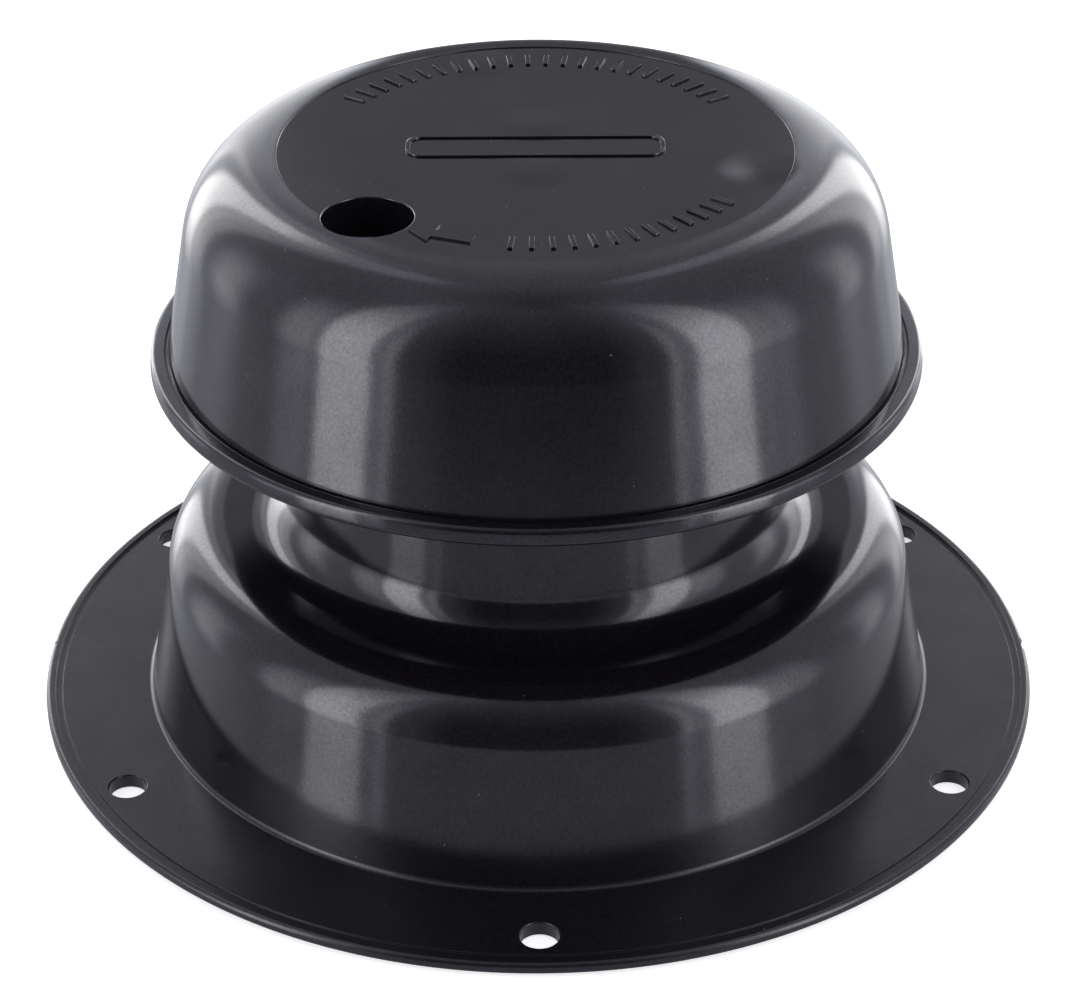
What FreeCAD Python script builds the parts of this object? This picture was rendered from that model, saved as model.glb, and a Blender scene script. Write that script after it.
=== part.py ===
"""Roof vent cover for a plumbing vent pipe: a flanged base, a domed cap on three legs, and its screw.

Frame: +Z up, origin on the pipe's axis at the underside of the flange. Sizes are in millimetres and
angles in degrees, measured from +X. The cap's screw tower stands in the -X, -Y quarter.
"""
import FreeCAD, Part
import math
import os
import re
import Sketcher

SIZES = [
    ("wall", 2.2, "wall of both mouldings"),
    ("flange_radius", 90.0, "outside of the roof flange"),
    ("flange_thick", 2.5, "flange"),
    ("lip_width", 1.7, "bead round the flange's edge"),
    ("lip_rise", 0.3, "bead above the flange"),
    ("lip_round", 0.8, "outer corner of the bead"),
    ("bevel_width", 2.4, "bevel under the flange's edge, along the radius"),
    ("bevel_rise", 1.0, "bevel under the flange's edge"),
    ("bevel_round", 0.5, "corner between the bevel and the flange's edge"),
    ("groove_width", 1.2, "groove beside the bead"),
    ("groove_deep", 0.3, "groove below the flange's face"),
    ("bolt_circle", 82.1, "radius that the flange's screw holes stand on"),
    ("bolt_hole", 6.5, "diameter of a flange screw hole"),
    ("bolt_count", 6, "flange screw holes"),
    ("hole_break", 0.25, "chamfer on the flange holes"),
    ("gate_deep", 0.5, "moulding marks cut into the flange's edge"),
    ("gate_width", 3.2, "moulding mark on the +X side"),
    ("gate_angle", 1.2, "direction of that mark"),
    ("nick_width", 0.7, "moulding mark on the -X side"),
    ("nick_angle", 177.6, "direction of that mark"),
    ("dome_root", 70.6, "dome wall where it meets the flange"),
    ("root_round", 1.0, "fillet there"),
    ("dome_shoulder", 64.52, "dome wall carried up to the crest"),
    ("dome_round", 10.3, "shoulder between dome wall and crest"),
    ("crest_height", 36.3, "flat crest of the dome"),
    ("neck_root", 44.2, "neck carried down to the crest"),
    ("neck_round", 7.4, "hollow corner between crest and neck"),
    ("neck_dip", 1.7, "crest lower at the neck than at the shoulder"),
    ("neck_top", 40.8, "neck just under the ledge"),
    ("ledge_height", 74.0, "top of the ledge that the cap stands on"),
    ("ledge_thick", 2.5, "ledge"),
    ("ledge_radius", 44.0, "outside of the ledge"),
    ("ledge_round", 0.6, "ledge edges"),
    ("pipe_bore", 30.5, "collar bore, clear of a 60.3 mm pipe"),
    ("collar_foot", 66.0, "height of the collar's lower end"),
    ("leg_circle", 38.07, "radius that the cap's legs stand on"),
    ("tower_angle", -134.9, "direction of the screw tower"),
    ("leg_pitch", 120.0, "angle from one leg to the next"),
    ("boss_radius", 4.2, "screw boss under the ledge"),
    ("boss_length", 12.0, "screw boss below the ledge"),
    ("boss_bore", 4.4, "diameter of the bore that the screw enters"),
    ("peg_socket", 5.2, "diameter of a peg's socket"),
    ("rim_radius", 66.82, "outside of the cap's drip rim, before its corners are rounded"),
    ("rim_foot", 66.2, "height of the rim's underside"),
    ("rim_top", 69.3, "height of the rim's upper face"),
    ("rim_lean", 0.4, "rim narrower at its top"),
    ("rim_round", 0.9, "rim corners"),
    ("recess_width", 0.5, "recess between cap wall and rim"),
    ("recess_deep", 0.4, "recess below the rim's upper face"),
    ("cap_root", 63.6, "cap wall at the foot of the recess"),
    ("cap_shoulder", 57.33, "cap wall carried up to the top"),
    ("cap_round", 16.5, "shoulder between cap wall and top"),
    ("cap_height", 104.3, "top of the cap"),
    ("disc_radius", 43.3, "sunk disc on the cap's top"),
    ("disc_deep", 0.2, "disc below the top"),
    ("leg_foot", 4.6, "radius of a plain leg at its foot"),
    ("leg_head", 5.6, "radius of a plain leg at the cap"),
    ("peg_radius", 2.2, "locating peg below a plain leg"),
    ("peg_length", 2.2, "peg below the leg's foot"),
    ("tower_foot", 7.0, "outside of the screw tower at its foot"),
    ("tower_head", 9.4, "outside of the screw tower at the cap"),
    ("well_foot", 4.9, "inside of the tower at its floor"),
    ("well_head", 7.44, "inside of the tower at the cap's top"),
    ("tower_floor", 3.0, "floor under the screw's head"),
    ("floor_bore", 4.6, "diameter of the hole in that floor"),
    ("web_thick", 1.8, "web from each leg to the cap's wall"),
    ("web_foot", 84.0, "height of a web's lower corner at the wall"),
    ("web_drop", 5.0, "web lower at the leg than at the wall"),
    ("mark_rise", 0.35, "raised marks on the disc"),
    ("arrow_length", 11.2, "arrow that points to the access hole"),
    ("arrow_head", 4.5, "length of the arrow's head"),
    ("arrow_spread", 6.0, "width of the arrow's head"),
    ("arrow_shaft", 2.4, "width of the arrow's shaft"),
    ("arrow_x", -9.92, "middle of the shaft's end"),
    ("arrow_y", -36.02, "middle of the shaft's end"),
    ("arrow_angle", 158.8, "direction that the arrow points in"),
    ("panel_length", 43.5, "blank panel in the middle of the disc"),
    ("panel_width", 8.4, "blank panel"),
    ("panel_round", 3.0, "corners of the panel"),
    ("panel_line", 0.8, "raised line round the panel"),
    ("tick_circle", 37.2, "radius that the middles of the ticks stand on"),
    ("tick_length", 4.2, "tick along the radius"),
    ("tick_width", 0.9, "tick across the radius"),
    ("tick_pitch", 5.0, "angle from one tick to the next"),
    ("back_start", 32.0, "direction of the first tick in the long row"),
    ("back_count", 24, "ticks in the long row"),
    ("front_start", -96.0, "direction of the first tick in the short row"),
    ("front_count", 13, "ticks in the short row"),
    ("head_radius", 4.1, "screw head"),
    ("head_height", 2.9, "screw head"),
    ("head_round", 1.4, "crown of the screw head"),
    ("shank_length", 16.0, "screw below its head"),
    ("thread_crest", 2.08, "outside of the screw's thread"),
    ("thread_root", 1.5, "core of the screw"),
    ("thread_pitch", 1.41, "one ridge to the next"),
    ("plain_length", 1.5, "plain length under the screw's head"),
    ("drive_width", 1.2, "arm of the cross recess"),
    ("drive_span", 4.6, "cross recess from end to end"),
    ("drive_deep", 1.6, "cross recess"),
]
ALIASES = {alias for alias, _, _ in SIZES}
THREAD_RIDGES = 8

# Heights and places that several features share, as expressions over the sizes.
DISC_FACE = "cap_height - disc_deep"
CEILING = "cap_height - disc_deep - wall"
IN_CEILING = "cap_height - disc_deep - wall / 2"
TOWER_X = "leg_circle * cos(tower_angle)"
TOWER_Y = "leg_circle * sin(tower_angle)"
HEAD_SEAT = "ledge_height + tower_floor"

doc = FreeCAD.newDocument("roof_vent_cover")


def make_sheet():
    """Put every driving size in the spreadsheet, one row each, under its own alias."""
    sheet = doc.addObject("Spreadsheet::Sheet", "Sizes")
    for row, (alias, value, note) in enumerate(SIZES, start=1):
        sheet.set("A%d" % row, alias)
        sheet.set("B%d" % row, str(value))
        sheet.set("C%d" % row, note)
        sheet.setAlias("B%d" % row, alias)
    doc.recompute()


def bound(text):
    """Turn the names of sizes in an expression into references to the spreadsheet."""
    return re.sub(r"[a-z_]+", lambda word: "Sizes." * (word[0] in ALIASES) + word[0], text)


def bind(item, **expressions):
    """Bind properties of an object to expressions; a double underscore stands for a dot."""
    for name, text in expressions.items():
        item.setExpression(name.replace("__", "."), bound(text))


def new_body(name):
    """Start a sub-part, whose label is also its file's name."""
    body = doc.addObject("PartDesign::Body", name)
    body.Label = name
    body.Placement = FreeCAD.Placement()
    return body


def origin_item(body, role):
    """Find one of the body's own origin planes or axes."""
    return [item for item in body.Origin.OriginFeatures if item.Role == role][0]


def new_sketch(body, name, role="XY_Plane", x="0", y="0", z="0", angle="0"):
    """Attach an empty sketch to an origin plane, moved along Z or in XY and turned about Z."""
    sketch = body.newObject("Sketcher::SketchObject", name)
    sketch.AttachmentSupport = [(origin_item(body, role), "")]
    sketch.MapMode = "FlatFace"
    upright = FreeCAD.Vector(0, 1, 0) if role == "XZ_Plane" else FreeCAD.Vector(0, 0, 1)
    sketch.AttachmentOffset = FreeCAD.Placement(FreeCAD.Vector(), FreeCAD.Rotation(upright, 1))
    bind(sketch, AttachmentOffset__Base__x=x, AttachmentOffset__Base__y=y,
         AttachmentOffset__Base__z=z, AttachmentOffset__Rotation__Angle=angle)
    return sketch


def corner_arc(before, corner, after, radius):
    """Work out the arc that rounds a corner: where it starts and ends, its shape, and its turn."""
    to_before = (before - corner).normalize()
    to_after = (after - corner).normalize()
    half = to_before.getAngle(to_after) / 2
    start = corner + to_before * (radius / math.tan(half))
    end = corner + to_after * (radius / math.tan(half))
    centre = corner + (to_before + to_after).normalize() * (radius / math.sin(half))
    turns_left = to_after.cross(to_before).z > 0
    first, last = (start, end) if turns_left else (end, start)
    ring = Part.Circle(centre, FreeCAD.Vector(0, 0, 1), radius)
    return start, end, Part.ArcOfCircle(ring, ring.parameter(first), ring.parameter(last)), turns_left


def fix_point(sketch, geometry, end, x, y):
    """Hold a point at x, y, each an expression; a zero holds it on the sketch's axis."""
    for kind, text, axis in (("DistanceX", x, -2), ("DistanceY", y, -1)):
        value = sketch.evalExpression(bound(text))
        if abs(value) < 1e-9:
            sketch.addConstraint(Sketcher.Constraint("PointOnObject", geometry, end, axis))
        else:
            index = sketch.addConstraint(Sketcher.Constraint(kind, -1, 1, geometry, end, value))
            sketch.setExpression("Constraints[%d]" % index, bound(text))


def outline(sketch, corners):
    """Draw a closed outline from corners (x, y, rounding), all expressions; no rounding is None."""
    count = len(corners)
    spots = [FreeCAD.Vector(sketch.evalExpression(bound(x)), sketch.evalExpression(bound(y)), 0)
             for x, y, _ in corners]
    arcs = {}
    for index, (_, _, rounding) in enumerate(corners):
        if rounding:
            arcs[index] = corner_arc(spots[index - 1], spots[index], spots[(index + 1) % count],
                                     sketch.evalExpression(bound(rounding)))
    lines = []
    for index in range(count):
        following = (index + 1) % count
        start = arcs[index][1] if index in arcs else spots[index]
        end = arcs[following][0] if following in arcs else spots[following]
        lines.append(sketch.addGeometry(Part.LineSegment(start, end)))
    for index, (x, y, rounding) in enumerate(corners):
        if rounding:
            round_corner(sketch, lines[index - 1], lines[index], spots[index], corners[index], arcs[index])
        else:
            sketch.addConstraint(Sketcher.Constraint("Coincident", lines[index - 1], 2, lines[index], 1))
            fix_point(sketch, lines[index], 1, x, y)


def round_corner(sketch, line_in, line_out, spot, corner, rounded):
    """Join two lines by a tangent arc; the sharp corner stays as a construction point."""
    x, y, rounding = corner
    _, _, shape, turns_left = rounded
    arc = sketch.addGeometry(shape)
    first, last = (1, 2) if turns_left else (2, 1)
    point = sketch.addGeometry(Part.Point(spot), True)
    fix_point(sketch, point, 1, x, y)
    sketch.addConstraint([
        Sketcher.Constraint("PointOnObject", point, 1, line_in),
        Sketcher.Constraint("PointOnObject", point, 1, line_out),
        Sketcher.Constraint("Tangent", line_in, 2, arc, first),
        Sketcher.Constraint("Tangent", line_out, 1, arc, last),
    ])
    index = sketch.addConstraint(Sketcher.Constraint("Radius", arc, shape.Radius))
    sketch.setExpression("Constraints[%d]" % index, bound(rounding))


def circle(sketch, x, diameter):
    """Draw a circle on the sketch's X axis."""
    centre = FreeCAD.Vector(sketch.evalExpression(bound(x)), 0, 0)
    size = sketch.evalExpression(bound(diameter))
    ring = sketch.addGeometry(Part.Circle(centre, FreeCAD.Vector(0, 0, 1), size / 2))
    fix_point(sketch, ring, 3, x, "0")
    index = sketch.addConstraint(Sketcher.Constraint("Diameter", ring, size))
    sketch.setExpression("Constraints[%d]" % index, bound(diameter))


def revolve(body, name, corners):
    """Turn an outline (radius, height, rounding) about Z."""
    sketch = new_sketch(body, name + "_outline", "XZ_Plane")
    outline(sketch, corners)
    turned = body.newObject("PartDesign::Revolution", name)
    turned.Profile = sketch
    turned.ReferenceAxis = (sketch, ["V_Axis"])
    turned.Angle = 360
    doc.recompute()


def pad(body, name, sketch, length, both_ways=False):
    """Raise a sketch by a length."""
    raised = body.newObject("PartDesign::Pad", name)
    raised.Profile = sketch
    raised.SideType = "Symmetric" if both_ways else "One side"
    bind(raised, Length=length)
    doc.recompute()
    return raised


def pocket(body, name, sketch, depth):
    """Cut a sketch down by a depth."""
    cut = body.newObject("PartDesign::Pocket", name)
    cut.Profile = sketch
    bind(cut, Length=depth)
    recompute_cut(body, name)
    return cut


def hole(body, name, sketch, diameter, depth):
    """Drill a sketch's circles down by a depth."""
    doc.recompute()
    drilled = body.newObject("PartDesign::Hole", name)
    drilled.Profile = sketch
    drilled.DepthType = "Dimension"
    drilled.DrillPoint = "Flat"
    bind(drilled, Diameter=diameter, Depth=depth)
    recompute_cut(body, name)
    return drilled


def recompute_cut(body, name):
    """Recompute the newest feature and make sure that it removed material."""
    before = body.Tip.BaseFeature.Shape.Volume
    doc.recompute()
    if body.Shape.Volume >= before:
        raise RuntimeError(name + " cut nothing")


def repeat(body, name, feature, count, angle):
    """Repeat a feature about Z, angle apart."""
    pattern = body.newObject("PartDesign::PolarPattern", name)
    pattern.Originals = [feature]
    pattern.Axis = (origin_item(body, "Z_Axis"), [""])
    pattern.Mode = "Spacing"
    bind(pattern, Occurrences=count, Offset=angle)
    body.Tip = pattern
    doc.recompute()
    return pattern


def cone(body, name, kind, x, y, foot, head, low, high):
    """Add or cut an upright cone or cylinder between two heights."""
    shape = body.newObject("PartDesign::" + kind + "Cone", name)
    bind(shape, Radius1=low, Radius2=high, Height="(%s) - (%s)" % (head, foot),
         Placement__Base__x=x, Placement__Base__y=y, Placement__Base__z=foot)
    doc.recompute()


def circle_edges(feature, radius, height):
    """Name the circular edges of a radius at a height."""
    names = []
    for index, edge in enumerate(feature.Shape.Edges, start=1):
        if isinstance(edge.Curve, Part.Circle) and abs(edge.Curve.Radius - radius) < 1e-3:
            if abs(edge.Curve.Center.z - height) < 1e-3:
                names.append("Edge%d" % index)
    return names


def leg_places():
    """List the legs' suffixes and directions, the screw tower first."""
    return [("tower", "tower_angle"), ("leg_a", "tower_angle + leg_pitch"),
            ("leg_b", "tower_angle + 2 * leg_pitch")]


def base_shell(body):
    """The moulding's wall: bevel, edge bead, flange, dome, neck, ledge and collar, then back inside."""
    bead_top = "flange_thick + lip_rise"
    bead_in = "flange_radius - lip_width"
    groove_floor = "flange_thick - groove_deep"
    under_ledge = "ledge_height - ledge_thick"
    revolve(body, "shell", [
        ("flange_radius - bevel_width", "0", None),
        ("flange_radius", "bevel_rise", "bevel_round"),
        ("flange_radius", bead_top, "lip_round"),
        (bead_in, bead_top, None),
        (bead_in, groove_floor, None),
        (bead_in + " - groove_width", groove_floor, None),
        (bead_in + " - groove_width", "flange_thick", None),
        ("dome_root", "flange_thick", "root_round"),
        ("dome_shoulder", "crest_height", "dome_round"),
        ("neck_root", "crest_height - neck_dip", "neck_round"),
        ("neck_top", under_ledge, "root_round"),
        ("ledge_radius", under_ledge, None),
        ("ledge_radius", "ledge_height", "ledge_round"),
        ("pipe_bore", "ledge_height", None),
        ("pipe_bore", "collar_foot", None),
        ("pipe_bore + wall", "collar_foot", None),
        ("pipe_bore + wall", under_ledge, None),
        ("neck_top - wall", under_ledge, None),
        ("neck_root - wall", "crest_height - neck_dip - wall", "neck_round + wall"),
        ("dome_shoulder - wall", "crest_height - wall", "dome_round - wall"),
        ("dome_root - wall", "0", None),
    ])


def flange_holes(body):
    """Six screw holes round the flange, the first towards -Y, with their edges broken."""
    sketch = new_sketch(body, "flange_hole_place", z="flange_thick", angle="-90")
    circle(sketch, "bolt_circle", "bolt_hole")
    first = hole(body, "flange_hole", sketch, "bolt_hole", "flange_thick + 1")
    drilled = repeat(body, "flange_holes", first, "bolt_count", "360 / bolt_count")
    sheet = doc.getObject("Sizes")
    edges = circle_edges(drilled, sheet.bolt_hole / 2, sheet.flange_thick)
    broken = body.newObject("PartDesign::Chamfer", "hole_edges")
    broken.Base = (drilled, edges)
    bind(broken, Size="hole_break")
    recompute_cut(body, "hole_edges")


def moulding_mark(body, name, width, angle):
    """A shallow step in the flange's edge where the moulding was cut from its runner."""
    sketch = new_sketch(body, name + "_outline", z="flange_thick + lip_rise", angle=angle)
    floor = "flange_radius - gate_deep"
    outline(sketch, [
        (floor, "-%s / 2" % width, None),
        ("flange_radius + gate_deep", "-%s / 2" % width, None),
        ("flange_radius + gate_deep", "%s / 2" % width, None),
        (floor, "%s / 2" % width, None),
    ])
    pocket(body, name, sketch, "flange_thick + lip_rise + 1")


def flanged_base():
    """Build the base: shell, screw boss and bore, peg sockets, flange holes and moulding marks."""
    body = new_body("flanged_base")
    base_shell(body)
    boss_foot = "ledge_height - ledge_thick - boss_length"
    cone(body, "boss", "Additive", TOWER_X, TOWER_Y, boss_foot, "ledge_height - ledge_thick / 2",
         "boss_radius", "boss_radius")
    sketch = new_sketch(body, "boss_bore_place", z="ledge_height", angle="tower_angle")
    circle(sketch, "leg_circle", "boss_bore")
    hole(body, "boss_bore", sketch, "boss_bore", "boss_length + ledge_thick + 1")
    for name, angle in leg_places()[1:]:
        sketch = new_sketch(body, name + "_socket_place", z="ledge_height", angle=angle)
        circle(sketch, "leg_circle", "peg_socket")
        hole(body, name + "_socket", sketch, "peg_socket", "ledge_thick + 1")
    flange_holes(body)
    moulding_mark(body, "gate", "gate_width", "gate_angle")
    moulding_mark(body, "nick", "nick_width", "nick_angle")
    return body


def cap_shell(body):
    """The cap's wall: rim, recess, side, shoulder and sunk disc, then back inside."""
    revolve(body, "shell", [
        ("cap_root - wall", "rim_foot", None),
        ("rim_radius", "rim_foot", "rim_round"),
        ("rim_radius - rim_lean", "rim_top", "rim_round"),
        ("cap_root + recess_width", "rim_top", None),
        ("cap_root + recess_width", "rim_top - recess_deep", None),
        ("cap_root", "rim_top - recess_deep", None),
        ("cap_shoulder", "cap_height", "cap_round"),
        ("disc_radius", "cap_height", None),
        ("disc_radius", DISC_FACE, None),
        ("0", DISC_FACE, None),
        ("0", CEILING, None),
        ("cap_shoulder - wall", CEILING, "cap_round - wall"),
    ])


def cap_leg(body, name, angle, foot, head):
    """A tapered leg from the ledge up into the cap, and the web that ties it to the wall."""
    cone(body, name, "Additive", "leg_circle * cos(%s)" % angle, "leg_circle * sin(%s)" % angle,
         "ledge_height", IN_CEILING, foot, head)
    sketch = new_sketch(body, name + "_web_outline", "XZ_Plane", angle=angle)
    lean = "(cap_root - cap_shoulder) / (cap_height - rim_top + recess_deep)"
    at_wall = "cap_root - wall / 2 - (web_foot - rim_top + recess_deep) * " + lean
    outline(sketch, [
        ("leg_circle", "web_foot - web_drop", None),
        (at_wall, "web_foot", None),
        ("cap_shoulder - wall / 2", IN_CEILING, "cap_round - wall / 2"),
        ("leg_circle", IN_CEILING, None),
    ])
    pad(body, name + "_web", sketch, "web_thick", both_ways=True)


def screw_well(body):
    """The well down the tower that a driver enters, and the hole in its floor for the screw."""
    cone(body, "well", "Subtractive", TOWER_X, TOWER_Y, HEAD_SEAT, DISC_FACE, "well_foot", "well_head")
    cone(body, "well_mouth", "Subtractive", TOWER_X, TOWER_Y, DISC_FACE, "cap_height + 1",
         "well_head", "well_head")
    sketch = new_sketch(body, "floor_bore_place", z=HEAD_SEAT, angle="tower_angle")
    circle(sketch, "leg_circle", "floor_bore")
    hole(body, "floor_bore", sketch, "floor_bore", "tower_floor + 1")


def arrow(body):
    """A raised arrow that points at the access hole."""
    sketch = new_sketch(body, "arrow_outline", x="arrow_x", y="arrow_y", z=DISC_FACE, angle="arrow_angle")
    neck = "arrow_length - arrow_head"
    outline(sketch, [
        ("0", "-arrow_shaft / 2", None),
        (neck, "-arrow_shaft / 2", None),
        (neck, "-arrow_spread / 2", None),
        ("arrow_length", "0", None),
        (neck, "arrow_spread / 2", None),
        (neck, "arrow_shaft / 2", None),
        ("0", "arrow_shaft / 2", None),
    ])
    pad(body, "arrow", sketch, "mark_rise")


def blank_panel(body):
    """A raised line round an empty panel with rounded corners."""
    sketch = new_sketch(body, "panel_outline", z=DISC_FACE)
    for inset in ("0", "panel_line"):
        half_length = "(panel_length / 2 - %s)" % inset
        half_width = "(panel_width / 2 - %s)" % inset
        outline(sketch, [(across + half_length, along + half_width, "panel_round - " + inset)
                         for across, along in (("-", "-"), ("", "-"), ("", ""), ("-", ""))])
    pad(body, "panel", sketch, "mark_rise")


def tick_row(body, name, start, count):
    """A row of raised ticks along the disc's edge."""
    sketch = new_sketch(body, name + "_outline", z=DISC_FACE, angle=start)
    near = "tick_circle - tick_length / 2"
    far = "tick_circle + tick_length / 2"
    outline(sketch, [
        (near, "-tick_width / 2", None),
        (far, "-tick_width / 2", None),
        (far, "tick_width / 2", None),
        (near, "tick_width / 2", None),
    ])
    tick = pad(body, name + "_tick", sketch, "mark_rise")
    repeat(body, name, tick, count, "tick_pitch")


def cap():
    """Build the cap: shell, legs with webs, screw well, locating pegs and raised marks."""
    body = new_body("cap")
    cap_shell(body)
    tower, *plain = leg_places()
    cap_leg(body, tower[0], tower[1], "tower_foot", "tower_head")
    for name, angle in plain:
        cap_leg(body, name, angle, "leg_foot", "leg_head")
        cone(body, name + "_peg", "Additive", "leg_circle * cos(%s)" % angle,
             "leg_circle * sin(%s)" % angle, "ledge_height - peg_length", "ledge_height + 1",
             "peg_radius", "peg_radius")
    screw_well(body)
    arrow(body)
    blank_panel(body)
    tick_row(body, "back_row", "back_start", "back_count")
    tick_row(body, "front_row", "front_start", "front_count")
    return body


def cap_screw():
    """Build the screw: a crowned head with a cross recess, on a ridged and pointed shank."""
    body = new_body("cap_screw")
    corners = [("0", HEAD_SEAT + " - shank_length", None)]
    for ridge in range(THREAD_RIDGES, 0, -1):
        low = HEAD_SEAT + " - plain_length - %d * thread_pitch" % ridge
        corners += [("thread_root", low, None), ("thread_crest", low + " + thread_pitch / 2", None)]
    corners += [
        ("thread_root", HEAD_SEAT + " - plain_length", None),
        ("thread_root", HEAD_SEAT, None),
        ("head_radius", HEAD_SEAT, None),
        ("head_radius", HEAD_SEAT + " + head_height", "head_round"),
        ("0", HEAD_SEAT + " + head_height", None),
    ]
    revolve(body, "turned", corners)
    for name, angle in (("slot_a", "tower_angle"), ("slot_b", "tower_angle + 90")):
        sketch = new_sketch(body, name + "_outline", z=HEAD_SEAT + " + head_height", angle=angle)
        outline(sketch, [(across + "drive_span / 2", along + "drive_width / 2", None)
                         for across, along in (("-", "-"), ("", "-"), ("", ""), ("-", ""))])
        pocket(body, name, sketch, "drive_deep")
    bind(body, Placement__Base__x=TOWER_X, Placement__Base__y=TOWER_Y)
    doc.recompute()
    return body


def check_document():
    """Stop if any feature failed or a sketch is left loose."""
    for item in doc.Objects:
        if "Invalid" in item.State or "Error" in item.State:
            raise RuntimeError("%s failed: %s" % (item.Name, item.State))
        if item.isDerivedFrom("Sketcher::SketchObject") and not item.FullyConstrained:
            raise RuntimeError(item.Name + " isn't fully constrained")


def export(body):
    """Check a sub-part's shape and write it to its own file."""
    shape = body.Shape
    if shape.isNull() or not shape.isValid() or len(shape.Solids) != 1:
        raise RuntimeError(body.Label + " isn't one valid solid")
    shape.exportStep("parts/%s.step" % body.Label)
    box = shape.BoundBox
    print("%-13s %9.0f mm3, z %6.2f to %6.2f, %.1f x %.1f mm"
          % (body.Label, shape.Volume, box.ZMin, box.ZMax, box.XLength, box.YLength))


make_sheet()
sub_parts = [flanged_base(), cap(), cap_screw()]
doc.recompute()
check_document()
os.makedirs("parts", exist_ok=True)
for sub_part in sub_parts:
    export(sub_part)
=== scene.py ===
"""Looks for the roof vent cover: satin black mouldings, a steel cap screw, and a tent of softboxes.

The frame is the CAD model's: +Z up, the pipe's axis at the origin, the front towards -Y. The two
mouldings are written in millimetres, their outlines as corners of (radius, height, rounding) or
(x, y, rounding). The floor, the camera and the materials are in metres.
"""
import cmath
import math

import bmesh
import bpy
from mathutils import Matrix, Vector


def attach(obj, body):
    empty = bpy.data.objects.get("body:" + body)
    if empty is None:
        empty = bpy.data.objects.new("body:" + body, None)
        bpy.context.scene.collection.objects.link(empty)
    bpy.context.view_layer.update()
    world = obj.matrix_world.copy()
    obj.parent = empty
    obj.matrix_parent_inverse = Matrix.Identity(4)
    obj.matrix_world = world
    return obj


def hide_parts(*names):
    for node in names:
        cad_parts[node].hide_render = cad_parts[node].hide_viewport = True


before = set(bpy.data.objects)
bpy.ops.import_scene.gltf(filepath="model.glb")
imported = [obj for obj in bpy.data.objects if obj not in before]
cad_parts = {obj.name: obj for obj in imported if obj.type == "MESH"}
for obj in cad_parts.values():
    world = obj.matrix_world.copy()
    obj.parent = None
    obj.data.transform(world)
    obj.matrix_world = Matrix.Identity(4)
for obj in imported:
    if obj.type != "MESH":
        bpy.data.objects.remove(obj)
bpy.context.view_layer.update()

MM = 0.001

# The corners of a square from its middle, in order.
SQUARE = [(-1, -1), (1, -1), (1, 1), (-1, 1)]

# Steps in a full turn of a shell and of a rod, and the largest step along a rounding. Roundings of
# up to EDGE_ROUNDING take the coarser step. Edges sharper than the crease stay sharp, and points
# nearer than JOIN_WITHIN metres become one.
ROUND_STEPS = 288
ROD_STEPS = 64
ARC_STEP = math.radians(5)
EDGE_STEP = math.radians(22)
EDGE_ROUNDING = 1
CREASE = math.radians(35)
JOIN_WITHIN = 1e-8

# Cutters open a face a hair above it, so that no two faces share a plane, and end well clear of the
# part. The mouth of a hole's cutter is wider than the hole by FLARE times its eased edge.
HAIR = 0.004
CLEAR = 1
FLARE = 1.1

CAMERA_PLACE = (0.0, -0.4594, 0.3091)
CAMERA_LENS = 99.5
SENSOR_WIDTH = 36.0
CAMERA_PITCH = math.radians(30.88)
CAMERA_YAW = math.radians(0.06)
CAMERA_ROLL = math.radians(-0.27)

# The floor lies a small gap below the flange. The background is what the camera sees of the world.
FLOOR_RADIUS = 13.0
FLOOR_GAP = 0.0003
FLOOR_COLOUR = (0.86, 0.86, 0.865, 1.0)
FLOOR_GLOW = 0.65
BACKGROUND = (0.98, 0.98, 0.985, 1.0)

# The black plastic: two blacks mixed finely, a tint on its shine, the index of refraction of each
# moulding, and some roughness that is added at the flange and gone above the rise.
BLACK_DEEP = (0.0036, 0.0029, 0.0045, 1.0)
BLACK_WORN = (0.0064, 0.0054, 0.0078, 1.0)
SHINE_TINT = (0.94, 0.92, 1.0, 1.0)
BASE_GLOSS = 1.5
CAP_GLOSS = 1.52
DULLER = 0.14
DULL_RISE = 0.014

# Specks of dust: how many cells there are to a metre, how large a speck is in its cell, and which
# cells have one.
DUST = (0.2, 0.2, 0.2, 1.0)
DUST_SCALE = 300.0
DUST_SIZE = (0.015, 0.04)
DUST_CHOSEN = (0.6, 0.62)

# Layers of noise. Each has a scale, a detail, and the two values that it eases between as the noise
# goes from its clip to 1 - clip.
WEAR = {"scale": 1800.0, "detail": 3.0, "clip": 0.3, "values": (0.0, 1.0)}
GRAIN = {"scale": 2200.0, "detail": 3.0, "clip": 0.25, "values": (0.42, 0.58)}
MOTTLE = {"scale": 110.0, "detail": 3.0, "clip": 0.25, "values": (-0.04, 0.04)}
POLISH = {"scale": 25.0, "detail": 4.0, "clip": 0.3, "values": (0.10, 0.135)}
SCRATCHES = {"scale": 900.0, "detail": 3.0, "clip": 0.3, "values": (0.25, 0.4)}
STEEL_COLOUR = (0.6, 0.6, 0.6, 1.0)

# Relief in the plastic: a slow sway of its walls, a fine pebble, and shallow sink marks.
SWAY_SCALE = 45.0
SWAY_DEPTH = 0.00006
PEBBLE_SCALE = 3500.0
PEBBLE_DEPTH = 0.00003
PEBBLE_STRENGTH = 0.18
SINK_DEPTH = 0.0003
SINK_REACH = 0.008

# The tent round the object, as brightness by direction. Azimuths are degrees from +X, and heights
# are degrees above the horizon. A box is full up to the first height of its fade and gone at the
# second. Each share multiplies what lies above or below its fade.
TENT_BRIGHT = 0.80
UPPER_SHARE = 0.90
UPPER_FADE = (26, 50)
OVERHEAD_SHARE = 0.525
OVERHEAD_FADE = (70, 90)
FOOT_SHARE = 0.80
FOOT_FADE = (-26, -2)
KEY_FOOT_FADE = (-30, -8)

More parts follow.
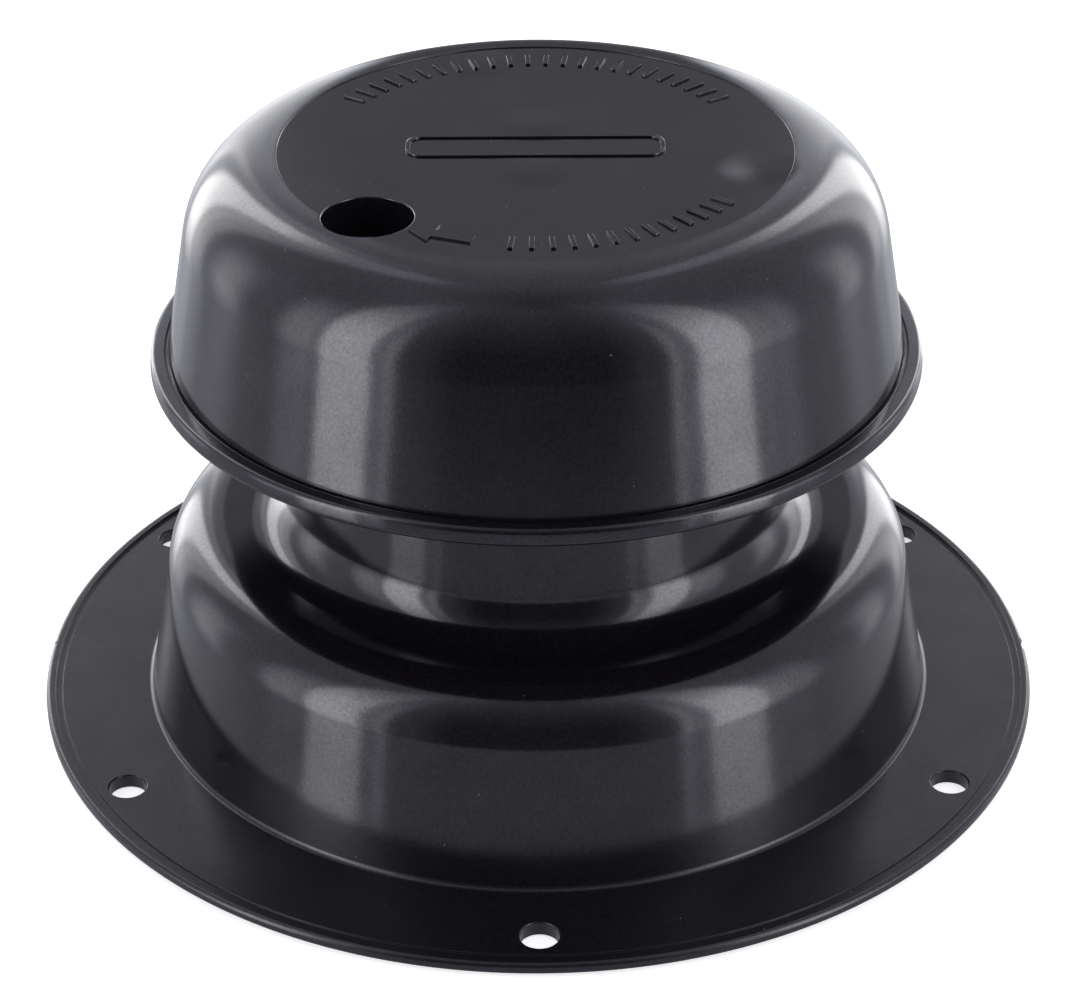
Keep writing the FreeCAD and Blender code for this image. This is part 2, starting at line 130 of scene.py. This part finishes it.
# Light is cool up to the first brightness, and white from the second.
COOL = (0.96, 0.99, 1.07, 1.0)
WHITE = (1.0, 1.0, 1.0, 1.0)
WHITE_FROM = (1.0, 3.0)

# The dark side towards the camera, and how bright the floor is in front of it.
FRONT_FLOOR = 0.68
FRONT_FLOOR_EDGE = (-16, -8)
FRONT_DARK = [
    {"azimuth": -91, "half": 41.5, "soft": 1.5, "fade": (20, 112), "bright": -0.35},
    {"azimuth": -91, "half": 31, "soft": 9, "fade": (20, 112), "bright": -0.39},
]

# The two keys at the front with their borders, and the softboxes at the sides and the back.
KEYS = [
    {"azimuth": -150.2, "half": 8.6, "soft": 0.8, "fade": (12, 78), "bright": 5.1},
    {"azimuth": -31.2, "half": 8.8, "soft": 0.8, "fade": (20, 78), "bright": 5.0},
    {"azimuth": -135.4, "half": 1.5, "soft": 0.6, "fade": (16, 50), "bright": 1.1},
    {"azimuth": -47.6, "half": 1.5, "soft": 0.6, "fade": (30, 60), "bright": 1.1},
    {"azimuth": -138, "half": 4.6, "soft": 1.2, "fade": (36, 66), "bright": 0.75},
    {"azimuth": -44, "half": 4.6, "soft": 1.2, "fade": (36, 66), "bright": 0.85},
]
SOFTBOXES = [
    {"azimuth": -168, "half": 6.5, "soft": 4, "fade": (10, 50), "bright": 1.5},
    {"azimuth": -13, "half": 8.5, "soft": 4, "fade": (10, 50), "bright": 1.1},
    {"azimuth": -162, "half": 4.5, "soft": 1.5, "fade": (20, 60), "bright": 0.3},
    {"azimuth": -19, "half": 4.0, "soft": 1.5, "fade": (30, 66), "bright": 0.5},
    {"azimuth": 60.5, "half": 5.6, "soft": 1.5, "fade": (33, 50), "bright": 3.2},
    {"azimuth": 60, "half": 7.0, "soft": 2, "fade": (62, 74), "bright": 0.9},
    {"azimuth": 123.5, "half": 5.8, "soft": 1.5, "fade": (38, 52), "bright": 3.4},
    {"azimuth": 113.5, "half": 3.8, "soft": 2, "fade": (36, 64), "bright": 0.7},
    {"azimuth": 126, "half": 8.0, "soft": 2, "fade": (62, 74), "bright": 0.9},
    {"azimuth": 48, "half": 5.0, "soft": 3, "fade": (20, 60), "bright": 1.7},
    {"azimuth": 136, "half": 4.5, "soft": 2, "fade": (30, 66), "bright": 1.2},
    {"azimuth": 24, "half": 6.5, "soft": 5, "fade": (8, 34), "bright": 1.2},
    {"azimuth": 158, "half": 7.5, "soft": 6, "fade": (8, 34), "bright": 1.3},
    {"azimuth": 76, "half": 7.0, "soft": 2, "fade": (10, 34), "bright": 1.3},
    {"azimuth": 104.5, "half": 8.0, "soft": 2, "fade": (10, 34), "bright": 1.3},
    {"azimuth": 90, "half": 6.5, "soft": 1.5, "fade": (8, 52), "bright": -0.62},
]

# The three legs stand on the base's ledge; number 0 is the tower that the screw passes through.
LEG_CIRCLE = 38.07
TOWER_ANGLE = math.radians(-134.9)
LEG_PITCH = math.radians(120)
PLAIN_LEGS = (1, 2)
LEDGE_TOP = 74.0
LEDGE_FOOT = 71.5

# The base's outline, from the bevel under the flange's edge up to the ledge, and back inside.
FLANGE_RADIUS = 90.0
FLANGE_TOP = 2.5
BEAD_TOP = 2.8
BASE_OUTLINE = [
    (87.6, 0, 0.2), (FLANGE_RADIUS, 1.0, 0.5), (FLANGE_RADIUS, BEAD_TOP, 0.8), (88.3, BEAD_TOP, 0.15),
    (88.3, 2.2, 0.1), (87.1, 2.2, 0.1), (87.1, FLANGE_TOP, 0.12), (70.6, FLANGE_TOP, 1.0),
    (64.52, 36.3, 10.3), (44.2, 34.6, 7.4), (40.8, LEDGE_FOOT, 1.0), (44.0, LEDGE_FOOT, 0.3),
    (44.0, LEDGE_TOP, 0.6), (30.5, LEDGE_TOP, 0.2), (30.5, 66.0, 0.2), (32.7, 66.0, 0.2),
    (32.7, LEDGE_FOOT, 0.3), (38.6, LEDGE_FOOT, 0.3), (42.0, 32.4, 9.6), (62.32, 34.1, 8.1),
    (68.4, 0, 0.2),
]
BOLT_CIRCLE = 82.1
BOLT_RADIUS = 3.25
BOLT_EDGE = 0.25
BOLT_COUNT = 6
BOLT_TURN = math.radians(-90)
BOSS_FOOT = 59.5
BOSS_RADIUS = 4.2
BOSS_BORE = 2.2
PEG_SOCKET = 2.6
SOCKET_EDGE = 0.2

# Notches left by the mould in the flange's edge, as (azimuth in degrees, width), and their depth.
MOULDING_MARKS = [(1.2, 3.2), (177.6, 0.7)]
MOULDING_MARK_DEPTH = 0.5

# The cap's outline, from the drip rim up to the sunk disc, and back inside.
DISC_FACE = 104.1
CEILING = 101.9
CAP_OUTLINE = [
    (61.4, 66.2, 0.3), (66.82, 66.2, 0.9), (66.42, 69.3, 0.9), (64.1, 69.3, 0.12),
    (64.1, 68.9, 0.1), (63.6, 68.9, 0.1), (57.33, 104.3, 16.5), (43.3, 104.3, 0.1),
    (43.3, DISC_FACE, 0.08), (0, DISC_FACE, 0), (0, CEILING, 0), (55.13, CEILING, 14.3),
]

# Below the disc: the tower, the plain legs with their pegs, the screw's well, and the webs.
TOWER_RADII = (7.0, 9.4)
LEG_OUTLINE = [(0, 71.8, 0), (2.2, 71.8, 0.3), (2.2, LEDGE_TOP, 0), (4.6, LEDGE_TOP, 0.2), (5.6, 103.0, 0),
               (0, 103.0, 0)]
WELL_FLOOR = 77.0
WELL_BORE = 2.3
WELL_OUTLINE = [
    (0, WELL_FLOOR, 0), (4.9, WELL_FLOOR, 0.4), (7.44, DISC_FACE + HAIR, 0.3), (7.9, DISC_FACE + HAIR, 0),
    (7.9, DISC_FACE + CLEAR, 0), (0, DISC_FACE + CLEAR, 0),
]
WEB_THICK = 1.8
WEB_OUTLINE = [(LEG_CIRCLE, 79.0, 0), (60.2, 84.0, 0), (56.23, 103.0, 15.4), (LEG_CIRCLE, 103.0, 0)]

# The raised marks on the disc, which are rooted in it: how high they rise, and their bevel. The
# panel is given by length, width and rounding; a row of ticks by its first azimuth and its count.
MARK_RISE = 0.35
MARK_ROOT = 0.4
MARK_EDGE = 0.12
MARK_EDGE_STEPS = 2
ARROW_TAIL = (-9.92, -36.02, 0)
ARROW_ANGLE = math.radians(158.8)
ARROW_OUTLINE = [(0, -1.2, 0), (6.7, -1.2, 0), (6.7, -3.0, 0), (11.2, 0, 0.2), (6.7, 3.0, 0), (6.7, 1.2, 0),
                 (0, 1.2, 0)]
PANEL = (43.5, 8.4, 3.0)
PANEL_LINE = 0.8
TICK_PITCH = 5
TICK_ROWS = [(32, 24), (-96, 13)]
TICK_OUTLINE = [(35.1, -0.45, 0), (39.3, -0.45, 0), (39.3, 0.45, 0), (35.1, 0.45, 0)]

# Sink marks in the disc, above the two plain legs and in front of and behind its middle.
SINKS = [cmath.rect(LEG_CIRCLE, TOWER_ANGLE + number * LEG_PITCH) for number in PLAIN_LEGS] + [-9j, 9j]

# Blender's Mix node has several sockets of one name; these are the inputs and the output for colours.
MIX_FIRST = 6
MIX_SECOND = 7
MIX_RESULT = 2


class Tree:
    """Builds shader nodes by calls that read like a formula."""

    def __init__(self, node_tree):
        self.tree = node_tree
        self.tree.nodes.clear()

    def add(self, kind, **settings):
        node = self.tree.nodes.new(kind)
        for name, value in settings.items():
            setattr(node, name, value)
        return node

    def join(self, source, target):
        self.tree.links.new(source, target)

    def math(self, operation, first, second=0.0):
        node = self.add("ShaderNodeMath", operation=operation)
        self.feed(node, first, second)
        return node.outputs[0]

    def put(self, value, socket):
        """Give an input its value or link."""
        if isinstance(value, bpy.types.NodeSocket):
            self.join(value, socket)
        else:
            socket.default_value = value

    def feed(self, node, *values):
        """Give a node's first inputs their values or links."""
        for socket, value in zip(node.inputs, values):
            self.put(value, socket)

    def ramp(self, value, low, high, bottom=0.0, top=1.0):
        """Ease from bottom to top as the value goes from low to high."""
        node = self.add("ShaderNodeMapRange", interpolation_type="SMOOTHSTEP")
        self.feed(node, value, low, high, bottom, top)
        return node.outputs[0]

    def noise(self, vector, scale, detail=2.0):
        node = self.add("ShaderNodeTexNoise")
        self.join(vector, node.inputs["Vector"])
        node.inputs["Scale"].default_value = scale
        node.inputs["Detail"].default_value = detail
        return node.outputs["Fac"]

    def layer(self, vector, look):
        """A layer of noise between its two values."""
        noise = self.noise(vector, look["scale"], look["detail"])
        return self.ramp(noise, look["clip"], 1 - look["clip"], *look["values"])

    def blend(self, share, first, second):
        """Mix a share of the second colour into the first."""
        node = self.add("ShaderNodeMix", data_type="RGBA")
        self.join(share, node.inputs["Factor"])
        self.put(first, node.inputs[MIX_FIRST])
        self.put(second, node.inputs[MIX_SECOND])
        return node.outputs[MIX_RESULT]

    def bump(self, height, depth, strength=1.0, invert=False):
        """Raise the surface, or sink it, by a height."""
        node = self.add("ShaderNodeBump", invert=invert)
        node.inputs["Strength"].default_value = strength
        node.inputs["Distance"].default_value = depth
        self.join(height, node.inputs["Height"])
        return node


def make_camera():
    """Stand the camera at its place, aimed by pitch, yaw and roll."""
    ahead = Vector((math.sin(CAMERA_YAW) * math.cos(CAMERA_PITCH),
                    math.cos(CAMERA_YAW) * math.cos(CAMERA_PITCH),
                    -math.sin(CAMERA_PITCH)))
    side = Vector((math.cos(CAMERA_YAW), -math.sin(CAMERA_YAW), 0.0))
    upward = side.cross(ahead)
    right = math.cos(CAMERA_ROLL) * side + math.sin(CAMERA_ROLL) * upward
    upright = math.cos(CAMERA_ROLL) * upward - math.sin(CAMERA_ROLL) * side
    data = bpy.data.cameras.new("camera")
    data.lens = CAMERA_LENS
    data.sensor_width = SENSOR_WIDTH
    camera = bpy.data.objects.new("camera", data)
    turn = Matrix((right, upright, -ahead)).transposed().to_4x4()
    camera.matrix_world = Matrix.Translation(CAMERA_PLACE) @ turn
    bpy.context.scene.collection.objects.link(camera)
    bpy.context.scene.camera = camera


def add_up(tree, values):
    """Add values together."""
    total = values[0]
    for value in values[1:]:
        total = tree.math("ADD", total, value)
    return total


def by_height(tree, height, fade, below=0.0, above=1.0):
    """Ease from one value to another as the height passes through a fade given in degrees."""
    low, high = (math.radians(edge) for edge in fade)
    return tree.ramp(height, low, high, below, above)


def softbox(tree, across, height, box):
    """Brightness of one softbox in the direction looked in."""
    angle = math.radians(box["azimuth"])
    half, soft = math.radians(box["half"]), math.radians(box["soft"])
    heading = tree.add("ShaderNodeVectorMath", operation="DOT_PRODUCT")
    tree.feed(heading, across, (math.cos(angle), math.sin(angle), 0.0))
    apart = tree.math("ARCCOSINE", heading.outputs["Value"])
    wide = tree.ramp(apart, half - soft, half + soft, 1.0, 0.0)
    return tree.math("MULTIPLY", wide, by_height(tree, height, box["fade"], box["bright"], 0.0))


def tent(tree):
    """Brightness of the whole tent in the direction looked in."""
    looking = tree.add("ShaderNodeTexCoord").outputs["Generated"]
    level = tree.add("ShaderNodeVectorMath", operation="MULTIPLY")
    tree.feed(level, looking, (1.0, 1.0, 0.0))
    across = tree.add("ShaderNodeVectorMath", operation="NORMALIZE")
    tree.feed(across, level.outputs[0])
    parts = tree.add("ShaderNodeSeparateXYZ")
    tree.feed(parts, looking)
    height = tree.math("ARCSINE", parts.outputs["Z"])

    floor_share = (FRONT_FLOOR - TENT_BRIGHT) / sum(box["bright"] for box in FRONT_DARK)
    groups = [(FRONT_DARK, FRONT_FLOOR_EDGE, floor_share), (KEYS, KEY_FOOT_FADE, 0.0),
              (SOFTBOXES, FOOT_FADE, 0.0)]
    lights = []
    for boxes, fade, below in groups:
        light = add_up(tree, [softbox(tree, across.outputs[0], height, box) for box in boxes])
        lights.append(tree.math("MULTIPLY", light, by_height(tree, height, fade, below)))
    bright = add_up(tree, lights + [TENT_BRIGHT])
    for fade, below, above in ((FOOT_FADE, FOOT_SHARE, 1.0), (OVERHEAD_FADE, 1.0, OVERHEAD_SHARE),
                               (UPPER_FADE, 1.0, UPPER_SHARE)):
        bright = tree.math("MULTIPLY", bright, by_height(tree, height, fade, below, above))
    return bright


def make_world():
    """A pale tent, dark towards the camera, with tall softboxes, which the camera sees plain."""
    world = bpy.data.worlds.new("studio")
    bpy.context.scene.world = world
    world.use_nodes = True
    tree = Tree(world.node_tree)
    bright = tent(tree)
    studio = tree.add("ShaderNodeBackground")
    tree.join(tree.blend(tree.ramp(bright, *WHITE_FROM), COOL, WHITE), studio.inputs["Color"])
    tree.join(bright, studio.inputs["Strength"])
    plain = tree.add("ShaderNodeBackground")
    plain.inputs["Color"].default_value = BACKGROUND
    seen = tree.add("ShaderNodeLightPath").outputs["Is Camera Ray"]
    mix = tree.add("ShaderNodeMixShader")
    tree.feed(mix, seen, studio.outputs[0], plain.outputs[0])
    output = tree.add("ShaderNodeOutputWorld")
    tree.join(mix.outputs[0], output.inputs["Surface"])


def new_material(name):
    """Start a material and return it with its node builder."""
    material = bpy.data.materials.new(name)
    material.use_nodes = True
    return material, Tree(material.node_tree)


def finish_material(tree, shader):
    """Send a shader to the material's output."""
    output = tree.add("ShaderNodeOutputMaterial")
    tree.join(shader.outputs[0], output.inputs["Surface"])


def make_floor():
    """A plain pale floor that glows like a light table, and is open from below to show the underside."""
    mesh = bpy.data.meshes.new("floor")
    corners = [(FLOOR_RADIUS * x, FLOOR_RADIUS * y, -FLOOR_GAP) for x, y in SQUARE]
    mesh.from_pydata(corners, [], [range(len(corners))])
    floor = bpy.data.objects.new("floor", mesh)
    bpy.context.scene.collection.objects.link(floor)
    material, tree = new_material("floor")
    pale = tree.add("ShaderNodeBsdfDiffuse")
    pale.inputs["Color"].default_value = FLOOR_COLOUR
    glow = tree.add("ShaderNodeEmission")
    glow.inputs["Strength"].default_value = FLOOR_GLOW
    lit = tree.add("ShaderNodeAddShader")
    tree.feed(lit, pale.outputs[0], glow.outputs[0])
    clear = tree.add("ShaderNodeBsdfTransparent")
    from_below = tree.add("ShaderNodeNewGeometry").outputs["Backfacing"]
    mix = tree.add("ShaderNodeMixShader")
    tree.feed(mix, from_below, lit.outputs[0], clear.outputs[0])
    finish_material(tree, mix)
    mesh.materials.append(material)
    floor.visible_glossy = False


def dimple(tree, place, spot):
    """How deep a sink mark on the disc is, from 1 in its middle to 0."""
    apart = tree.add("ShaderNodeVectorMath", operation="DISTANCE")
    tree.feed(apart, place, (MM * spot.real, MM * spot.imag, MM * DISC_FACE))
    return tree.ramp(apart.outputs["Value"], 0.0, SINK_REACH, 1.0, 0.0)


def dusty_black(tree, place):
    """Two blacks mixed finely, with a few pale specks of dust."""
    cells = tree.add("ShaderNodeTexVoronoi")
    tree.join(place, cells.inputs["Vector"])
    cells.inputs["Scale"].default_value = DUST_SCALE
    speck = tree.ramp(cells.outputs["Distance"], *DUST_SIZE, 1.0, 0.0)
    chosen = tree.ramp(cells.outputs["Color"], *DUST_CHOSEN)
    black = tree.blend(tree.layer(place, WEAR), BLACK_DEEP, BLACK_WORN)
    return tree.blend(tree.math("MULTIPLY", speck, chosen), black, DUST)


def satin_relief(tree, place):
    """A slow sway of the walls, then the sink marks, then a fine pebble."""
    sway = tree.bump(tree.noise(place, SWAY_SCALE), SWAY_DEPTH)
    dimples = add_up(tree, [dimple(tree, place, spot) for spot in SINKS])
    sinks = tree.bump(dimples, SINK_DEPTH, invert=True)
    pebble = tree.bump(tree.noise(place, PEBBLE_SCALE), PEBBLE_DEPTH, PEBBLE_STRENGTH)
    tree.join(sway.outputs[0], sinks.inputs["Normal"])
    tree.join(sinks.outputs[0], pebble.inputs["Normal"])
    return pebble.outputs[0]


def black_plastic(name, gloss):
    """Satin black moulded plastic, faintly violet, and duller just above the flange."""
    material, tree = new_material(name)
    place = tree.add("ShaderNodeTexCoord").outputs["Object"]
    shader = tree.add("ShaderNodeBsdfPrincipled")
    shader.inputs["IOR"].default_value = gloss
    shader.inputs["Specular Tint"].default_value = SHINE_TINT
    tree.join(dusty_black(tree, place), shader.inputs["Base Color"])
    shine = tree.math("ADD", tree.layer(place, GRAIN), tree.layer(place, MOTTLE))
    tree.join(shine, shader.inputs["Specular IOR Level"])
    parts = tree.add("ShaderNodeSeparateXYZ")
    tree.feed(parts, place)
    foot = MM * FLANGE_TOP
    dull = tree.ramp(parts.outputs["Z"], foot, foot + DULL_RISE, DULLER, 0.0)
    tree.join(tree.math("ADD", tree.layer(place, POLISH), dull), shader.inputs["Roughness"])
    tree.join(satin_relief(tree, place), shader.inputs["Normal"])
    finish_material(tree, shader)
    return material


def steel():
    """Bright screw steel."""
    material, tree = new_material("screw_steel")
    place = tree.add("ShaderNodeTexCoord").outputs["Object"]
    shader = tree.add("ShaderNodeBsdfPrincipled")
    shader.inputs["Metallic"].default_value = 1.0
    shader.inputs["Base Color"].default_value = STEEL_COLOUR
    tree.join(tree.layer(place, SCRATCHES), shader.inputs["Roughness"])
    finish_material(tree, shader)
    return material


def rounded(corners):
    """Turn corners (x, y, rounding) into the points of a closed outline, as complex numbers."""
    places = [complex(x, y) for x, y, _ in corners]
    points = []
    for index, (place, (_, _, rounding)) in enumerate(zip(places, corners)):
        if not rounding:
            points.append(place)
            continue
        back = places[index - 1] - place
        on = places[(index + 1) % len(places)] - place
        back, on = back / abs(back), on / abs(on)
        half = abs(cmath.phase(on / back)) / 2
        centre = place + (back + on) / abs(back + on) * rounding / math.sin(half)
        first = place + back * rounding / math.tan(half) - centre
        last = place + on * rounding / math.tan(half) - centre
        sweep = cmath.phase(last / first)
        steps = math.ceil(abs(sweep) / (ARC_STEP if rounding > EDGE_ROUNDING else EDGE_STEP))
        points += [centre + first * cmath.exp(1j * sweep * step / steps) for step in range(steps + 1)]
    return points


def lathe(mesh, points, place=0j, steps=ROUND_STEPS):
    """Turn a closed outline of radius + height * 1j about the upright axis at a place."""
    rings = []
    for step in range(steps):
        around = cmath.exp(2j * math.pi * step / steps)
        spots = [place + point.real * around for point in points]
        rings.append([mesh.verts.new((MM * spot.real, MM * spot.imag, MM * point.imag))
                      for spot, point in zip(spots, points)])
    for step in range(steps):
        here, there = rings[step], rings[(step + 1) % steps]
        for index in range(len(points)):
            after = (index + 1) % len(points)
            mesh.faces.new((here[index], there[index], there[after], here[after]))


def slab(mesh, points, low, high, turn):
    """Extrude a closed outline of x + y * 1j from one height to another, then turn it into place."""
    rings = [[mesh.verts.new(turn @ (MM * Vector((point.real, point.imag, height)))) for point in points]
             for height in (low, high)]
    mesh.faces.new(rings[0])
    mesh.faces.new(rings[1])
    for index in range(len(points)):
        before = index - 1
        mesh.faces.new((rings[0][before], rings[0][index], rings[1][index], rings[1][before]))


def new_object(name, mesh):
    """Make an object from a bmesh, with the axis points joined and the faces turned outwards."""
    bmesh.ops.remove_doubles(mesh, verts=mesh.verts, dist=JOIN_WITHIN)
    bmesh.ops.recalc_face_normals(mesh, faces=mesh.faces)
    data = bpy.data.meshes.new(name)
    mesh.to_mesh(data)
    mesh.free()
    made = bpy.data.objects.new(name, data)
    bpy.context.scene.collection.objects.link(made)
    return made


def apply_modifiers(piece):
    """Replace a piece's mesh by what its modifiers make of it."""
    graph = bpy.context.evaluated_depsgraph_get()
    result = bpy.data.meshes.new_from_object(piece.evaluated_get(graph))
    piece.modifiers.clear()
    piece.data = result


def combine(piece, other, operation):
    """Add another closed mesh to a piece (UNION) or cut it out (DIFFERENCE)."""
    change = piece.modifiers.new("change", "BOOLEAN")
    change.operation = operation
    change.solver = "EXACT"
    change.object = other
    apply_modifiers(piece)
    bpy.data.objects.remove(other)


def smooth(piece):
    """Shade smoothly, with the flat faces kept flat up to their edges."""
    piece.data.shade_smooth()
    piece.data.set_sharp_from_angle(angle=CREASE)
    weighted = piece.modifiers.new("weighted", "WEIGHTED_NORMAL")
    weighted.keep_sharp = True
    apply_modifiers(piece)


def cone(mesh, place, low, high, foot, head):
    """A closed upright cone or rod, given its heights and its radii at foot and head."""
    outline = [complex(0, low), complex(foot, low), complex(head, high), complex(0, high)]
    lathe(mesh, outline, place, ROD_STEPS)


def hole(mesh, place, radius, low, high, edge):
    """A cutter for a hole whose upper edge is eased, a hair high so that no two faces share a plane."""
    flare, brim = radius + FLARE * edge, high + HAIR
    outline = rounded([(0, low, 0), (radius, low, 0), (radius, brim, edge), (flare, brim, 0),
                       (flare, brim + CLEAR, 0), (0, brim + CLEAR, 0)])
    lathe(mesh, outline, place, ROD_STEPS)


def leg_place(number):
    """Where a leg stands: number 0 is the tower that the screw passes through."""
    return cmath.rect(LEG_CIRCLE, TOWER_ANGLE + number * LEG_PITCH)


def cut_holes(mesh):
    """The base's cutters: the screw's bore and peg sockets in the ledge, and the flange's holes."""
    hole(mesh, leg_place(0), BOSS_BORE, BOSS_FOOT - CLEAR, LEDGE_TOP, SOCKET_EDGE)
    for number in PLAIN_LEGS:
        hole(mesh, leg_place(number), PEG_SOCKET, LEDGE_FOOT - CLEAR, LEDGE_TOP, SOCKET_EDGE)
    for number in range(BOLT_COUNT):
        place = cmath.rect(BOLT_CIRCLE, BOLT_TURN + math.tau * number / BOLT_COUNT)
        hole(mesh, place, BOLT_RADIUS, -CLEAR, FLANGE_TOP, BOLT_EDGE)


def cut_moulding_marks(mesh):
    """The cutters for the notches that the mould leaves in the flange's edge."""
    near, far = FLANGE_RADIUS - MOULDING_MARK_DEPTH, FLANGE_RADIUS + CLEAR
    for angle, width in MOULDING_MARKS:
        outline = [complex(along, side * width / 2)
                   for along, side in ((near, -1), (far, -1), (far, 1), (near, 1))]
        slab(mesh, outline, -CLEAR, BEAD_TOP + CLEAR, Matrix.Rotation(math.radians(angle), 4, "Z"))


def make_base():
    """The flanged base: its turned shell and screw boss, less its bores, holes and moulding marks."""
    mesh = bmesh.new()
    lathe(mesh, rounded(BASE_OUTLINE))
    base = new_object("flanged_base_moulding", mesh)
    boss = bmesh.new()
    cone(boss, leg_place(0), BOSS_FOOT, (LEDGE_FOOT + LEDGE_TOP) / 2, BOSS_RADIUS, BOSS_RADIUS)
    combine(base, new_object("boss", boss), "UNION")
    tools = bmesh.new()
    cut_holes(tools)
    cut_moulding_marks(tools)
    combine(base, new_object("tools", tools), "DIFFERENCE")
    smooth(base)
    return base


def make_posts():
    """The tower and the two plain legs that stand on the base's ledge."""
    mesh = bmesh.new()
    inside = (CEILING + DISC_FACE) / 2
    cone(mesh, leg_place(0), LEDGE_TOP, inside, *TOWER_RADII)
    for number in PLAIN_LEGS:
        lathe(mesh, rounded(LEG_OUTLINE), leg_place(number), ROD_STEPS)
    return new_object("posts", mesh)


def make_webs():
    """The webs that tie the three legs to the cap's wall."""
    mesh = bmesh.new()
    stand = Matrix.Rotation(math.pi / 2, 4, "X")
    for number in (0, *PLAIN_LEGS):
        turn = Matrix.Rotation(TOWER_ANGLE + number * LEG_PITCH, 4, "Z")
        slab(mesh, rounded(WEB_OUTLINE), -WEB_THICK / 2, WEB_THICK / 2, turn @ stand)
    return new_object("webs", mesh)


def panel_line(mesh, low, high):
    """The raised line round the blank panel, from one height to another."""
    long, wide, corner = PANEL
    rings = []
    for inset in (0, PANEL_LINE):
        corners = [(x * (long / 2 - inset), y * (wide / 2 - inset), corner - inset) for x, y in SQUARE]
        outline = rounded(corners)
        rings += [[mesh.verts.new(MM * Vector((point.real, point.imag, height))) for point in outline]
                  for height in (low, high)]
    low_out, high_out, low_in, high_in = rings
    for near, far in ((low_out, high_out), (high_out, high_in), (high_in, low_in), (low_in, low_out)):
        for index in range(len(near)):
            mesh.faces.new((near[index - 1], near[index], far[index], far[index - 1]))


def make_marks():
    """The raised arrow, the two rows of ticks, and the blank panel."""
    mesh = bmesh.new()
    low, high = DISC_FACE - MARK_ROOT, DISC_FACE + MARK_RISE
    arrow_turn = Matrix.Translation(MM * Vector(ARROW_TAIL)) @ Matrix.Rotation(ARROW_ANGLE, 4, "Z")
    slab(mesh, rounded(ARROW_OUTLINE), low, high, arrow_turn)
    for start, count in TICK_ROWS:
        for step in range(count):
            turn = Matrix.Rotation(math.radians(start + TICK_PITCH * step), 4, "Z")
            slab(mesh, rounded(TICK_OUTLINE), low, high, turn)
    panel_line(mesh, low, high)
    marks = new_object("marks", mesh)
    bevel = marks.modifiers.new("bevel", "BEVEL")
    bevel.limit_method = "ANGLE"
    bevel.width = MM * MARK_EDGE
    bevel.segments = MARK_EDGE_STEPS
    apply_modifiers(marks)
    return marks


def make_cap():
    """The cap: its turned shell with the legs, the screw well, and the raised marks."""
    mesh = bmesh.new()
    lathe(mesh, rounded(CAP_OUTLINE))
    cap = new_object("cap_moulding", mesh)
    combine(cap, make_posts(), "UNION")
    combine(cap, make_webs(), "UNION")
    tools = bmesh.new()
    lathe(tools, rounded(WELL_OUTLINE), leg_place(0), 2 * ROD_STEPS)
    cone(tools, leg_place(0), LEDGE_TOP - CLEAR, WELL_FLOOR + CLEAR, WELL_BORE, WELL_BORE)
    combine(cap, new_object("tools", tools), "DIFFERENCE")
    marks = make_marks()
    joined = bmesh.new()
    joined.from_mesh(cap.data)
    joined.from_mesh(marks.data)
    joined.to_mesh(cap.data)
    joined.free()
    bpy.data.objects.remove(marks)
    smooth(cap)
    return cap


def dress(node, material):
    """Give a CAD node a material in place of its packed one."""
    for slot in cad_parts[node].material_slots:
        slot.material = material


def settle(piece, node, body, slot, gloss):
    """Let a black piece stand for a CAD node and ride with its body."""
    piece.data.materials.clear()
    piece.data.materials.append(black_plastic(slot, gloss))
    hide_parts(node)
    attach(piece, body)


make_camera()
make_world()
make_floor()
bpy.context.scene.view_settings.view_transform = "Standard"
settle(make_base(), "flanged_base", "base", "base_plastic", BASE_GLOSS)
settle(make_cap(), "cap", "cap", "cap_plastic", CAP_GLOSS)
dress("cap_screw", steel())
